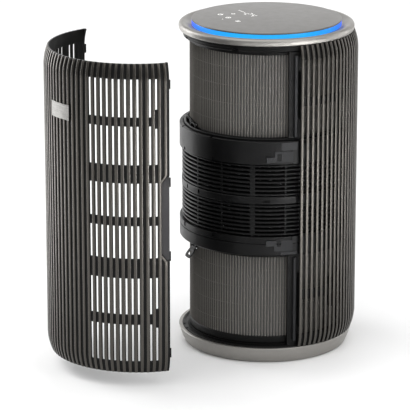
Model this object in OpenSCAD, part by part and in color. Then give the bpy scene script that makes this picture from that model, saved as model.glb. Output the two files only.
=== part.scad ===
// Air purifier: a round casing with two pleated filters, a fan between them and a front cover
// that pulls straight off. Millimetres, +Z up, origin at the centre of the underside of the feet.
// The open front faces -Y. Angles called phi are measured from -Y towards +X.

/* [Casing] */
// Outer radius over the ribs at mid height
body_r = 145; // [144:0.5:147]
// Height of the upper face of the base, where the ribbed casing starts
casing_z0 = 25.4; // [25.2:0.1:25.6]
// Height of the underside of the cap, where the ribbed casing ends
casing_z1 = 512.3; // [512:0.1:513]
// Height of each end stretch over which the casing draws in
end_h = 29; // [20:1:32]
// How far the casing draws in at each end
end_in = 6.2; // [4:0.1:6.2]

/* [Ribs] */
// Ribs on a full turn
rib_count = 96; // [96]
// Width of a rib's outer face
rib_w = 4.6; // [4:0.1:5]
// Depth of a rib of the rear casing, from its face to the lattice behind it
rear_rib_depth = 3; // [2.4:0.1:3]
// Depth of a rib of the cover, from its face to the lattice behind it
cover_rib_depth = 1.7; // [1.5:0.1:2]
// Thickness of the black lattice behind the ribs
lattice_t = 1.4; // [1.2:0.1:1.4]
// Width of an upright of the cover's lattice, between two of its slots
upright_w = 6.6; // [5.6:0.1:7]

/* [Front cover] */
// Half angle of the cover
cover_half = 81.2; // [81.1:0.05:81.2]
// Distance that the cover stands in front of its mounted place
cover_off = 230; // [200:5:260]
// Play between the cover's ends and the casing
cover_play = 0.35; // [0.3:0.05:0.5]
// Bottom of the grip recess as a share of the cover's height
grip_lo = 0.365; // [0.3:0.005:0.4]
// Top of the grip recess as a share of the cover's height
grip_hi = 0.645; // [0.55:0.005:0.65]

/* [Filters] */
// Outer radius of a filter's pleats
filter_r = 121.5; // [118:0.5:122]
// Height of the pleated stretch
pleat_h = 130; // [130]
// Pleats round a filter
pleat_count = 160; // [120:4:180]
// Underside of the lower filter
lower_filter_z = 29.5; // [29.3:0.1:29.6]
// Underside of the upper filter
upper_filter_z = 353.7; // [353.6:0.1:353.9]

/* [Fan] */
// Outer radius of the fan wheel
wheel_r = 105; // [95:1:110]
// Blades of the fan wheel
blade_count = 40; // [24:2:44]
// Radius of the fan shaft
shaft_r = 4; // [4]
// Running clearance of the shaft in its bearings
shaft_play = 0.03; // [0.02:0.01:0.05]

/* [Pull tabs] */
// Length of a pull tab from its pin
tab_len = 20; // [14:0.5:20]
// Width of a pull tab
tab_w = 20; // [16:1:22]
// Width of the opening in a pull tab
tab_hole = 11; // [9:1:12]
// Angle that a pull tab leans out at rest
tab_lean = 38; // [20:1:38]

/* [Hidden] */
$fn = 96;
eps = 0.05;
rib_step = 360 / rib_count;
cover_z0 = casing_z0 + cover_play;
cover_z1 = casing_z1 - cover_play;
cover_h = cover_z1 - cover_z0;
rear_first = 22 * rib_step;
rear_ribs_n = 53;
rib_half_n = 21;
rail_in = 5.6;
end_wall_in = 6.8;
bar_spans = [[0, 0.041], [0.162, 0.196], [0.314, 0.379], [0.4845, 0.514], [0.622, 0.681],
             [0.804, 0.833], [0.953, 1]];
clip_spans = [[0.046, 0.077], [0.365, 0.396], [0.605, 0.635], [0.918, 0.947]];
stiffener_phi = 65.625;
boss_phi = 73.125;
boss_spans = [[0.15, 0.2125], [0.796, 0.856]];
panel_half = 29.3;
first_upright = 8;
last_upright = 20;
channel_phi = 77.6;
channel_half = 2.1;

flange_r = 137.4;
louvre_r = 133.4;
louvre_in = 127.5;
fan_mid = 266.3;
lower_flange_z = 177.2;
lower_louvre_z = 208.2;
band_z0 = 260.5;
band_z1 = 272.2;
upper_louvre_z = 325.4;
seat_z = 353.4;
plate_t = 3;
seat_r = 127;
lip_r = 130.6;
lip_z = 364.9;
upper_step_z = 361.9;
bell_r = 86;
bell_throat = 78;
slats = 8;
strut_step = 22.5;
strut_first = 5.6;
wide_strut = 50.6;

big_ring = 11.2;
small_ring = 6;
ring_r = 121.9;
core_r = 76;
tab_phi = -6.3;
tab_pivot_r = 124.2;
tab_pin_r = 1;
upper_pivot_z = upper_filter_z + big_ring + 4.6;
lower_pivot_z = lower_filter_z + big_ring + pleat_h - 4.5;

wheel_z0 = 196;
wheel_z1 = 2 * fan_mid - wheel_z0;
motor_z0 = 192.4;
motor_z1 = 246;

cap_z = casing_z1;
panel_r = 118.3;
panel_z = 528.8;

champagne = [0.58, 0.55, 0.52];
rib_paint = [0.36, 0.35, 0.33];
black = [0.09, 0.09, 0.09];
dark_grey = [0.2, 0.2, 0.2];
media_grey = [0.62, 0.6, 0.56];
metal = [0.75, 0.75, 0.76];
board_green = [0.1, 0.3, 0.18];

// ---- shared shapes ----

// Radius of the ribbed skin at height z: straight, and drawn in on a curve at both ends.
function skin_r(z) = body_r - end_in * pow(max(0, 1 - min(z - casing_z0, casing_z1 - z) / end_h), 2);

// Heights from a to b: n steps along each end curve, and none along the straight stretch.
function level(a, b, n) = concat(
    [a],
    [for (i = [1:n]) let (z = casing_z0 + end_h * i / n) if (z > a + 0.5 && z < b - 0.5) z],
    [for (i = [n:-1:1]) let (z = casing_z1 - end_h * i / n) if (z > a + 0.5 && z < b - 0.5) z],
    [b]);

// Upright band that follows the skin from z = a to b, between two depths below it.
module skin_band(a, b, outer, inner) {
    zs = level(a, b, 6);
    polygon(concat(
        [for (z = zs) [skin_r(z) - outer, z]],
        [for (i = [len(zs) - 1:-1:0]) [skin_r(zs[i]) - inner, zs[i]]]));
}

// Local X is radial, Y is along increasing phi.
module at_phi(phi) {
    rotate([0, 0, phi - 90]) children();
}

// Sweeps the profile from phi a to phi b.
module sweep(a, b) {
    rotate([0, 0, a - 90]) rotate_extrude(angle = b - a) children();
}

module sector(r0, r1, z0, z1, a, b) {
    sweep(a, b) translate([r0, z0]) square([r1 - r0, z1 - z0]);
}

module ring(r0, r1, z0, z1) {
    rotate_extrude() translate([r0, z0]) square([r1 - r0, z1 - z0]);
}

// Straight upright bar of width w that follows the skin.
module bar(phi, w, a, b, outer, inner) {
    at_phi(phi) rotate([90, 0, 0]) linear_extrude(w, center = true) skin_band(a, b, outer, inner);
}

module block(r0, r1, w, z0, z1, shift = 0) {
    translate([r0, shift - w / 2, z0]) cube([r1 - r0, w, z1 - z0]);
}

// Rod along local Y.
module cross_rod(r, len) {
    rotate([90, 0, 0]) cylinder(r = r, h = len, center = true);
}

module to_cover() {
    translate([0, -cover_off, 0]) children();
}

function cover_at(share) = cover_z0 + cover_h * share;

// ---- base ----

foot_ring = 108;
foot_r = 9;
screw_ring = 92;

// Four feet near the rim, and a wide one in the middle.
module rubber_feet() {
    color(black) cylinder(r = 14, h = 3);
    color(black) for (k = [0:3]) rotate([0, 0, 45 + 90 * k]) translate([foot_ring, 0, 0])
        rotate_extrude() polygon([[0, 0], [foot_r - 1, 0], [foot_r, 1], [foot_r, 3], [0, 3]]);
}

module base_plate() {
    color(black) difference() {
        translate([0, 0, 3]) cylinder(r = 128.4, h = 2.6);
        for (k = [0:3]) rotate([0, 0, 90 * k]) translate([screw_ring, 0, 0]) {
            translate([0, 0, 2]) cylinder(r = 3.4, h = 2.4);
            cylinder(r = 1.9, h = 10);
        }
    }
}

module base_screws() {
    color(metal) for (k = [0:3]) rotate([0, 0, 90 * k]) translate([screw_ring, 0, 0]) difference() {
        union() {
            translate([0, 0, 3.2]) cylinder(r = 3, h = 1.2);
            translate([0, 0, 4]) cylinder(r = 1.5, h = 14);
        }
        translate([0, 0, 3.5]) cube([0.8, 3.6, 1], center = true);
        translate([0, 0, 3.5]) cube([3.6, 0.8, 1], center = true);
    }
}

module base_skirt() {
    color(champagne) difference() {
        rotate_extrude() polygon([
            [128.6, 1.2], [130.2, 1.2], [130.6, 1.8], [130.6, 3], [131.2, 3.6], [133.4, 8],
            [135.7, 13.6], [137.4, 19], [138.6, 23.4], [138.9, 24.6], [138.4, casing_z0],
            [133.2, casing_z0], [133.2, 21.6], [128.6, 7.4]]);
        translate([-15, 110, 7.4]) cube([30, 40, 13.2]);
    }
}

// Black tray that the lower filter stands on, with a ledge all round and screw posts below.
module filter_seat() {
    color(black) difference() {
        union() {
            rotate_extrude() polygon([
                [0, 22], [132.8, 22], [132.8, 26.6], [132.2, 27.2], [129.4, 27.2], [129.4, 26.2],
                [124, 26.2], [124, 29.2], [0, 29.2]]);
            for (k = [0:3]) rotate([0, 0, 90 * k]) translate([screw_ring, 0, 5.6])
                cylinder(r = 4.5, h = 17);
        }
        translate([0, 0, 25.2]) cylinder(r = 74, h = 10);
        for (k = [0:3]) rotate([0, 0, 90 * k]) translate([screw_ring, 0, 0])
            cylinder(r = 1.5, h = 20);
        for (phi = [-21, -11, 30]) at_phi(phi) block(129, 137, 9, 26.2, 30);
    }
}

inlet_z = 14;

module power_inlet() {
    color(black) difference() {
        translate([-14.8, 111, inlet_z - 6.3]) cube([29.6, 20, 12.6]);
        translate([-10.5, 115, inlet_z - 4]) cube([21, 20, 8]);
    }
    color(metal) for (x = [-4.3, 4.3]) translate([x, 115 - eps, inlet_z])
        rotate([-90, 0, 0]) cylinder(r = 1.2, h = 8);
}

module power_board() {
    color(board_green) union() {
        translate([-70, -50, 8]) cube([140, 90, 1.6]);
        translate([-50, -30, 9]) cube([34, 30, 11]);
        translate([-6, -34, 9]) cube([26, 38, 9]);
        for (x = [32, 50]) translate([x, -20, 9]) cylinder(r = 7, h = 11);
        for (x = [-60, 60]) for (y = [-40, 30]) translate([x, y, 5.6]) cylinder(r = 3, h = 3);
    }
}

// ---- filters ----

// Pleated paper: an outer zigzag round a plain inner wall.
module filter_media(z) {
    color(media_grey) translate([0, 0, z + eps]) linear_extrude(pleat_h - 2 * eps) difference() {
        polygon([for (i = [0:2 * pleat_count - 1]) let (a = 180 * i / pleat_count)
            (filter_r - (i % 2) * 3) * [cos(a), sin(a)]]);
        circle(r = core_r + 3);
    }
}

module filter_core(z) {
    color(dark_grey) union() {
        rotate_extrude() for (i = [0:4])
            translate([core_r, z + 1 + i * (pleat_h - 6) / 4]) square([2.4, 4]);
        for (k = [0:11]) rotate([0, 0, 30 * k])
            translate([core_r + 0.4, -2, z + eps]) cube([1.6, 4, pleat_h - 2 * eps]);
    }
}

module end_ring(z, h) {
    rotate_extrude() polygon([
        [core_r, z], [ring_r - 1, z], [ring_r, z + 1], [ring_r, z + h - 1], [ring_r - 1, z + h],
        [core_r, z + h]]);
}

gasket_r0 = 88;
gasket_r1 = 100;

// Two lugs that hold a pull tab's pin. toward is 1 where they rise from the ring and -1 where
// they hang from it.
module tab_lugs(pivot_z, toward) {
    at_phi(tab_phi) difference() {
        for (side = [-1, 1]) union() {
            translate([tab_pivot_r, side * 8.7, pivot_z]) cross_rod(2.2, 3);
            block(122, tab_pivot_r + 2, 3, min(pivot_z, pivot_z - toward * 5.6),
                max(pivot_z, pivot_z - toward * 5.6), side * 8.7);
            block(119, tab_pivot_r + 2, 3, min(pivot_z - toward * 5.5, pivot_z - toward * 9),
                max(pivot_z - toward * 5.5, pivot_z - toward * 9), side * 8.7);
        }
        translate([tab_pivot_r, 0, pivot_z]) cross_rod(tab_pin_r, 30);
    }
}

module tab_pin(pivot_z) {
    color(metal) at_phi(tab_phi) translate([tab_pivot_r, 0, pivot_z]) cross_rod(tab_pin_r, 21);
}

module pull_tab(pivot_z, turn) {
    color(black) at_phi(tab_phi) translate([tab_pivot_r, 0, pivot_z]) rotate([0, turn, 0])
    difference() {
        union() {
            cross_rod(2.2, 12);
            translate([-0.9, -6, 1]) cube([1.8, 12, 4]);
            translate([-0.9, -tab_w / 2, 3]) cube([1.8, tab_w, tab_len - 3]);
        }
        translate([-2, -tab_hole / 2, 7]) cube([4, tab_hole, tab_len - 11]);
        cross_rod(tab_pin_r + 0.06, 30);
    }
}

module lower_filter_media() { filter_media(lower_filter_z + big_ring); }
module upper_filter_media() { filter_media(upper_filter_z + big_ring); }
module lower_filter_core() { filter_core(lower_filter_z + big_ring); }
module upper_filter_core() { filter_core(upper_filter_z + big_ring); }
module lower_ring_bottom() { color(black) end_ring(lower_filter_z, big_ring); }
module upper_ring_top() {
    color(black) end_ring(upper_filter_z + big_ring + pleat_h, small_ring);
}

module lower_ring_top() {
    z = lower_filter_z + big_ring + pleat_h;
    color(black) difference() {
        union() {
            end_ring(z, small_ring);
            tab_lugs(lower_pivot_z, -1);
        }
        ring(gasket_r0, gasket_r1, z + small_ring - 2.5, z + small_ring + 1);
    }
}

module upper_ring_bottom() {
    color(black) difference() {
        union() {
            end_ring(upper_filter_z, big_ring);
            tab_lugs(upper_pivot_z, 1);
        }
        ring(gasket_r0, gasket_r1, upper_filter_z - 1, upper_filter_z + 2.5);
    }
}

module lower_filter_gasket() {
    z = lower_filter_z + big_ring + pleat_h + small_ring;
    color(dark_grey) ring(gasket_r0, gasket_r1, z - 2.5, lower_flange_z);
}

module upper_filter_gasket() {
    color(dark_grey) ring(gasket_r0, gasket_r1, seat_z, upper_filter_z + 2.5);
}

module lower_tab_pin() { tab_pin(lower_pivot_z); }
module upper_tab_pin() { tab_pin(upper_pivot_z); }
module lower_pull_tab() { pull_tab(lower_pivot_z, 180 - tab_lean); }
module upper_pull_tab() { pull_tab(upper_pivot_z, tab_lean); }

// ---- fan housing ----

module flange_pocket(phi, w, z0, z1) {
    at_phi(phi) block(flange_r - 1.6, flange_r + 2, w, z0, z1);
}

module lower_flange() {
    color(black) difference() {
        rotate_extrude() polygon([
            [flange_r, lower_louvre_z], [flange_r, 199], [flange_r - 1.2, 198.4],
            [flange_r - 1.2, 197.2], [flange_r, 196.6], [flange_r, 179], [flange_r - 1.8, lower_flange_z],
            [bell_r, lower_flange_z], [bell_r, lower_flange_z + plate_t],
            [flange_r - 2.6, lower_flange_z + plate_t], [flange_r - 2.6, lower_louvre_z]]);
        for (phi = [-9, 23, -76, 76]) flange_pocket(phi, 5, 201, 212);
    }
}

module upper_flange() {
    color(black) difference() {
        rotate_extrude() polygon([
            [flange_r, upper_louvre_z], [flange_r, upper_step_z - 1],
            [flange_r - 1, upper_step_z], [lip_r + 1.6, upper_step_z], [lip_r + 1.2, 358.6],
            [lip_r, 358.6], [lip_r, lip_z - 0.8], [lip_r - 0.8, lip_z], [seat_r + 0.8, lip_z],
            [seat_r, lip_z - 0.8], [seat_r, seat_z],
            [bell_r, seat_z], [bell_r, seat_z - plate_t], [flange_r - 2.6, seat_z - plate_t],
            [flange_r - 2.6, upper_louvre_z]]);
        for (phi = [-9, 23, -76, 76]) flange_pocket(phi, 5, 322, 331);
        for (phi = [-14, 21]) at_phi(phi) block(lip_r + 1.8, flange_r + 2, 4, 359.4, 370);
    }
}

// Ring of slanted slats from z0 to z1 with upright struts behind them. end_z is where the
// plain ring that slips inside a flange ends.
module louvre(z0, z1, end_z0, end_z1) {
    step = (z1 - z0) / slats;
    color(black) union() {
        rotate_extrude() {
            for (i = [0:slats - 1]) let (z = z0 + step * (i + 0.5))
                polygon([[louvre_in, z + 0.2], [louvre_r - 0.8, z - 1.6], [louvre_r, z - 1.2],
                    [louvre_r, z + 0.8], [louvre_r - 0.8, z + 1.4], [louvre_in, z + 2.6]]);
            translate([louvre_in, end_z0]) square([flange_r - 2.8 - louvre_in, end_z1 - end_z0]);
        }
        for (k = [0:15]) let (phi = strut_first + strut_step * k)
            at_phi(phi) block(louvre_in + 0.5, louvre_r - 1.6, abs(phi - wide_strut) < 2 ? 8 : 3,
                min(z0, end_z0 + 1), max(z1, end_z1 - 1));
    }
}

module lower_louvre() { louvre(lower_louvre_z, band_z0, lower_louvre_z - 4, lower_louvre_z - 0.4); }
module upper_louvre() { louvre(band_z1, upper_louvre_z, upper_louvre_z + 0.4, upper_louvre_z + 4); }

module middle_band() {
    color(black) difference() {
        rotate_extrude() polygon([
            [louvre_in, band_z0], [louvre_r, band_z0], [louvre_r + 0.6, band_z0 + 0.8],
            [louvre_r + 0.6, band_z1 - 0.8], [louvre_r, band_z1], [louvre_in, band_z1]]);
        for (side = [-1, 1]) {
            at_phi(side * 60) block(louvre_r - 2.4, louvre_r + 3, 11, band_z0 + 3.4, band_z1 - 3.2);
            at_phi(side * 7.9) block(louvre_r - 2.4, louvre_r + 3, 4, band_z0 + 3, band_z1 - 1.6);
        }
    }
}

// Flat stepped pads beside the opening, which the cover's thick bars bear on. Each is given by
// its middle, the ends of its face to either side of that, and its heights.
pads = [
    [71.5, -28, -15, 329, 337.6], [71.5, -15, 14, 329, 346.2], [75, -13, 12.5, 348, 360],
    [71.5, -28, -15, 194.4, 203], [71.5, -15, 14, 185.8, 203], [75, -13, 12.5, 179.5, 184]];
// Upright slots in the wide pads, given in the same way.
pad_slots = [[71.5, -11.5, -4, 330.5, 342.5], [71.5, -11.5, -4, 193.5, 204]];
pad_face = flange_r + 0.8;

module pad_block(side, p, outer) {
    at_phi(side * p[0])
        block(flange_r - 6, outer, p[2] - p[1], p[3], p[4], side * (p[1] + p[2]) / 2);
}

module cover_catches() {
    color(black) for (side = [-1, 1]) difference() {
        for (p = pads) pad_block(side, p, pad_face);
        cylinder(r = flange_r + 0.2, h = 600);
        for (s = pad_slots) pad_block(side, s, pad_face + 1);
    }
}

// Flared inlet, with its throat on the fan's side. side is 1 for the upper one.
module inlet_ring(z_plate, side) {
    color(dark_grey) rotate_extrude() polygon(concat(
        [[bell_r - 0.1, z_plate], [bell_r - 0.1, z_plate - side * 9]],
        [[bell_throat, z_plate - side * 9]],
        [for (i = [0:5]) let (a = 90 * i / 5)
            [bell_throat + 6 * (1 - cos(a)), z_plate - side * (6 - 6 * sin(a))]]));
}

module lower_inlet_ring() { inlet_ring(lower_flange_z, -1); }
module upper_inlet_ring() { inlet_ring(seat_z, 1); }

module finger_guard(z) {
    color(metal) union() {
        rotate_extrude() for (r = [16:12:76]) translate([r, z]) square([1.6, 1.6]);
        for (k = [0:2]) rotate([0, 0, 60 * k]) translate([-bell_throat + 0.3, -1.2, z + 0.2])
            cube([2 * bell_throat - 0.6, 2.4, 1.2]);
    }
}

module lower_finger_guard() { finger_guard(184.2); }
module upper_finger_guard() { finger_guard(345.2); }

// ---- fan and motor ----

arm_z = 187.2;

module motor_mount() {
    color(dark_grey) difference() {
        union() {
            translate([0, 0, arm_z]) cylinder(r = 44, h = motor_z0 - arm_z);
            for (k = [0:3]) rotate([0, 0, 45 + 90 * k]) {
                translate([40, -6, arm_z]) cube([82, 12, 5]);
                translate([110, -6, lower_flange_z + plate_t]) cube([12, 12, 8]);
            }
        }
        translate([0, 0, arm_z - 1]) cylinder(r = 8, h = 10);
    }
}

module motor_housing() {
    color(metal) difference() {
        translate([0, 0, motor_z0]) cylinder(r = 42, h = motor_z1 - motor_z0);
        translate([0, 0, motor_z0 + 9]) cylinder(r = 38, h = motor_z1 - motor_z0 - 18);
        translate([0, 0, motor_z0 + 3]) cylinder(r = 11, h = motor_z1 - motor_z0 - 6);
        translate([0, 0, motor_z0 - 1]) cylinder(r = 7, h = motor_z1 - motor_z0 + 2);
    }
}

module motor_stator() {
    color([0.72, 0.42, 0.2]) translate([0, 0, motor_z0 + 9]) difference() {
        cylinder(r = 38, h = motor_z1 - motor_z0 - 18);
        translate([0, 0, -1]) cylinder(r = 22, h = 60);
        for (k = [0:11]) rotate([0, 0, 30 * k]) translate([21, -2, -1]) cube([12, 4, 60]);
    }
}

module motor_rotor() {
    color(dark_grey) translate([0, 0, motor_z0 + 11]) difference() {
        cylinder(r = 21.4, h = motor_z1 - motor_z0 - 22);
        translate([0, 0, -1]) cylinder(r = shaft_r, h = 60);
    }
}

module motor_bearings() {
    color(metal) for (z = [motor_z0 + 3, motor_z1 - 9]) translate([0, 0, z]) difference() {
        cylinder(r = 11, h = 6);
        translate([0, 0, -1]) cylinder(r = shaft_r + shaft_play, h = 8);
    }
}

module fan_shaft() {
    color(metal) translate([0, 0, motor_z0 + 1]) cylinder(r = shaft_r, h = 92);
}

// Outline of one blade, curved forward from its inner edge to its outer edge.
module blade() {
    steps = 4;
    inner = 87;
    function bend(t) = 9 * t * t;
    polygon(concat(
        [for (i = [0:steps]) let (t = i / steps, r = inner + (wheel_r - 0.6 - inner) * t)
            r * [cos(bend(t)), sin(bend(t))]],
        [for (i = [steps:-1:0]) let (t = i / steps, r = inner + (wheel_r - 0.6 - inner) * t)
            r * [cos(bend(t) + 0.9), sin(bend(t) + 0.9)]]));
}

module fan_wheel() {
    color(dark_grey) difference() {
        union() {
            translate([0, 0, wheel_z0 + 0.5]) linear_extrude(wheel_z1 - wheel_z0 - 1)
                for (k = [0:blade_count - 1]) rotate(360 * k / blade_count) blade();
            rotate_extrude() {
                translate([85, wheel_z0]) square([wheel_r - 85, 3]);
                translate([85, wheel_z1 - 3]) square([wheel_r - 85, 3]);
                translate([0, fan_mid - 1.5]) square([wheel_r, 3]);
                translate([0, fan_mid - 16]) square([14, 32]);
            }
        }
        translate([0, 0, fan_mid - 20]) cylinder(r = shaft_r, h = 60);
    }
}

// ---- rear casing ----

// Upright band of the lattice: seven bars, each following the skin.
module lattice_bars(z_lo, z_hi, depth) {
    for (span = bar_spans)
        skin_band(span[0] == 0 ? z_lo : cover_at(span[0]), span[1] == 1 ? z_hi : cover_at(span[1]),
            depth, depth + lattice_t);
}

module rear_lattice() {
    start = rear_first + 0.6;
    color(black) union() {
        sweep(start, 360 - start) lattice_bars(casing_z0, casing_z1, rear_rib_depth);
        for (phi = [start + 1, 110.625, 144.375, 178.125, 215.625, 249.375, 359 - start])
            bar(phi, 5, casing_z0 + 1, casing_z1 - 1, rear_rib_depth + 0.2,
                rear_rib_depth + lattice_t - 0.2);
    }
}

module rim_lips(z0, z1, depth) {
    skin_band(z1 - 3, z1 - eps, depth - 0.9, depth - eps);
    skin_band(z0 + eps, z0 + 3, depth - 0.9, depth - eps);
}

module rear_ribs() {
    color(rib_paint) union() {
        for (k = [0:rear_ribs_n - 1])
            bar(rear_first + rib_step * k, rib_w, casing_z0, casing_z1, 0, rear_rib_depth);
        sweep(rear_first - 0.5, 360.5 - rear_first) rim_lips(casing_z0, casing_z1, rear_rib_depth);
    }
}

clip_in = 5.8;
clip_out = 3.8;

// Upright frame at one edge of the opening: the post beside the filters, its web, and the
// end wall of the casing with a window for each clip of the cover.
module pillar(side) {
    color(black) difference() {
        union() {
            for (z = [[27.4, lower_flange_z - 0.4], [lip_z + 0.3, 501.2]]) mirror_to(side) {
                sector(124.6, 131.5, z[0], z[1], 75, rear_first + 0.5);
                sector(131.2, 139.2, z[0] + 30, z[1] - 30, rear_first - 0.4, rear_first + 0.3);
            }
            bar(side * rear_first, 2.4, casing_z0 + 2, casing_z1 - 3.4, rear_rib_depth, end_wall_in);
        }
        for (span = clip_spans) at_phi(side * rear_first)
            block(body_r - clip_in - 8, body_r - clip_out + 0.4, 5, cover_at(span[0]) - 1.5,
                cover_at(span[1]) + 1.5, -side * 2);
    }
}

module mirror_to(side) {
    mirror([side > 0 ? 0 : 1, 0, 0]) children();
}

module right_pillar() { pillar(1); }
module left_pillar() { pillar(-1); }

module pillar_strips() {
    color([0.55, 0.56, 0.58]) for (side = [-1, 1]) for (z = [[36, 172], [368, 496]])
        mirror_to(side) sector(131.5 + eps, 136.6, z[0], z[1], 78.6, 80.2);
}

module wire_duct() {
    color(black) for (z = [[29.6, lower_flange_z - 0.4], [lip_z + 0.3, 501]])
        at_phi(180) difference() {
            block(125, 133.6, 24, z[0], z[1]);
            block(126.6, 132, 20, z[0] + 2, z[1] - 2);
        }
}

module air_sensor() {
    color(dark_grey) at_phi(118) difference() {
        block(126, 136.4, 34, 80, 128);
        for (z = [88:8:120]) block(134.5, 140, 22, z, z + 3);
    }
}

// ---- top ----

module top_collar() {
    color(black) difference() {
        union() {
            rotate_extrude() polygon([
                [0, 506], [126.5, 506], [126.5, 503.4], [124, 501.3], [129.6, 501.3], [131.4, 503],
                [131.4, 506.6], [132.2, 506.6], [132.8, 507.2], [132.8, 512.2], [131.4, 512.2],
                [131.4, 516], [129, 516], [129, 509], [0, 509]]);
            for (k = [0:3]) rotate([0, 0, 45 + 90 * k]) translate([50, 0, 508])
                cylinder(r = 4, h = 13.5);
            ring(104, 106, 508.5, 517);
        }
        for (phi = [-24, -12, 38]) at_phi(phi) block(125.5, 140, 10, 498, 506.5);
    }
}

module cap_rim() {
    color(champagne) rotate_extrude() polygon([
        [112, 517], [128.6, 517], [131.6, 516.4], [133.6, 512.4], [133.6, cap_z], [137, cap_z],
        [137.9, 513.4], [138.4, 516], [138.5, 518.8], [138, 520.8], [136.6, 522.4],
        [134.4, 523.3], [132, 523.4], [129.6, 522.8], [121.4, 519.6], [120.4, 519.2], [112, 519.2]]);
}

module light_ring() {
    color([0, 0.5, 1]) ring(116.4, panel_r, 519.2, 526.2);
}

module top_panel() {
    color(champagne) rotate_extrude() polygon([
        [0, 526.8], [113.6, 526.8], [113.6, 519.2], [115.6, 519.2], [115.6, 526.4], [117.6, 526.4],
        [117.6, 526.8], [panel_r, 527], [panel_r, 528.1], [panel_r - 0.7, panel_z], [0, panel_z]]);
}

// Seven strokes of a digit, in the order top, upper left, upper right, middle, lower left,
// lower right, bottom.
strokes = [[0, 1, 0], [-1, 0.5, 1], [1, 0.5, 1], [0, 0, 0], [-1, -0.5, 1], [1, -0.5, 1], [0, -1, 0]];
digit_two = [0, 2, 3, 4, 6];
digit_four = [1, 2, 3, 5];

module digit(used) {
    for (i = used) let (s = strokes[i])
        translate([s[0] * 3.6, s[1] * 6.4]) square(s[2] == 0 ? [5.4, 1.1] : [1.1, 4.6], center = true);
}

module ring_2d(r, t) {
    difference() {
        circle(r = r);
        circle(r = r - t);
    }
}

// Printed signs of the touch panel: two digits, a row of three touch signs and a level row.
module display_symbols() {
    color("white") translate([0, 0, panel_z]) linear_extrude(0.12) {
        translate([-36, -12]) digit(digit_two);
        translate([-22, -12]) digit(digit_four);
        for (i = [0:4]) translate([-66 + i * 4.5, -12]) circle(r = 1.1);
        translate([-54, -53]) ring_2d(4.2, 1.1);
        translate([-54, -50]) square([1.1, 5], center = true);
        translate([-27, -54]) ring_2d(4.4, 1.1);
        translate([-27, -54]) circle(r = 1.4);
        translate([3, -54]) for (i = [-1:1]) translate([0, i * 2.6]) square([8, 1.1], center = true);
        translate([-48, -33]) ring_2d(3.2, 1);
        translate([-22, -67]) circle(r = 1);
    }
}

module control_board() {
    color(board_green) difference() {
        union() {
            translate([0, 0, 521.5]) cylinder(r = 76, h = 1.6);
            for (x = [-54, -27, 3]) translate([x, -52, 522]) cylinder(r = 6, h = 3);
            translate([-44, -22, 522]) cube([34, 20, 3.4]);
        }
        for (x = [-30, 30]) translate([x, 40, 515]) cylinder(r = 2, h = 12);
    }
}

module light_board() {
    color(board_green) union() {
        ring(102, 111.4, 517, 518.4);
        for (k = [0:23]) rotate([0, 0, 15 * k]) translate([106.5, -2.5, 518]) cube([4.6, 5, 2.2]);
    }
}

// ---- front cover ----

module cover_lattice() {
    reach = cover_half - 1.45;
    color(black) to_cover() union() {
        sweep(-reach, reach) lattice_bars(cover_z0, cover_z1, cover_rib_depth);
        sweep(-panel_half, panel_half)
            skin_band(cover_z0 + 1, cover_z1 - 1, cover_rib_depth + 0.1,
                cover_rib_depth + lattice_t - 0.1);
        for (side = [-1, 1]) {
            for (k = [first_upright:last_upright])
                bar(side * rib_step * k, upright_w, cover_z0 + 1, cover_z1 - 1,
                    cover_rib_depth + 0.1, cover_rib_depth + 1);
            bar(side * stiffener_phi, 6, cover_z0 + 1, cover_z1 - 1, cover_rib_depth + 0.2,
                cover_rib_depth + lattice_t - 0.2);
            sweep(side * channel_phi - channel_half, side * channel_phi + channel_half)
                skin_band(cover_z0 + 1, cover_z1 - 1, cover_rib_depth + 0.1,
                    cover_rib_depth + lattice_t - 0.1);
            for (span = boss_spans)
                bar(side * boss_phi, 6, cover_at(span[0]), cover_at(span[1]),
                    cover_rib_depth + 0.1, cover_rib_depth + lattice_t + 0.8);
        }
    }
}

grip_z0 = cover_at(grip_lo);
grip_z1 = cover_at(grip_hi);
grip_rise = 12.6;
grip_lean = atan(body_r * rib_step * PI / 180 / grip_rise);

// The outermost rib of each side steps aside to its neighbour round the grip.
module cover_ribs() {
    reach = cover_half - 1.5;
    last = rib_half_n;
    color(rib_paint) to_cover() union() {
        for (k = [-last + 1:last - 1])
            bar(rib_step * k, rib_w, cover_z0, cover_z1, 0, cover_rib_depth);
        for (side = [-1, 1]) {
            bar(side * rib_step * last, rib_w, cover_z0, grip_z0, 0, cover_rib_depth);
            bar(side * rib_step * last, rib_w, grip_z1, cover_z1, 0, cover_rib_depth);
            for (end = [[grip_z0, -1], [grip_z1, 1]])
                at_phi(side * rib_step * (last - 0.5))
                    translate([body_r - cover_rib_depth + 0.1, 0, end[0] - end[1] * grip_rise / 2])
                    rotate([-end[1] * side * grip_lean, 0, 0])
                    translate([0, -rib_w / 2, -8.2]) cube([cover_rib_depth - 0.2, rib_w, 16.4]);
        }
        sweep(-reach, reach) rim_lips(cover_z0, cover_z1, cover_rib_depth);
    }
}

// Black rail at each edge, cut back under the grip plate.
module cover_rails() {
    color(black) to_cover() for (side = [-1, 1]) difference() {
        bar(side * (cover_half - 0.64), 3, cover_z0, cover_z1, 0.6, rail_in);
        at_phi(side * (cover_half - 0.64))
            block(body_r - 1.9, body_r + 2, 8, grip_z0 + 1, grip_z1 - 1);
    }
}

module cover_clips() {
    color(black) to_cover() for (side = [-1, 1]) for (span = clip_spans)
        at_phi(side * (cover_half + 0.58))
            block(body_r - clip_in, body_r - clip_out, 2.9, cover_at(span[0]), cover_at(span[1]));
}

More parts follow.
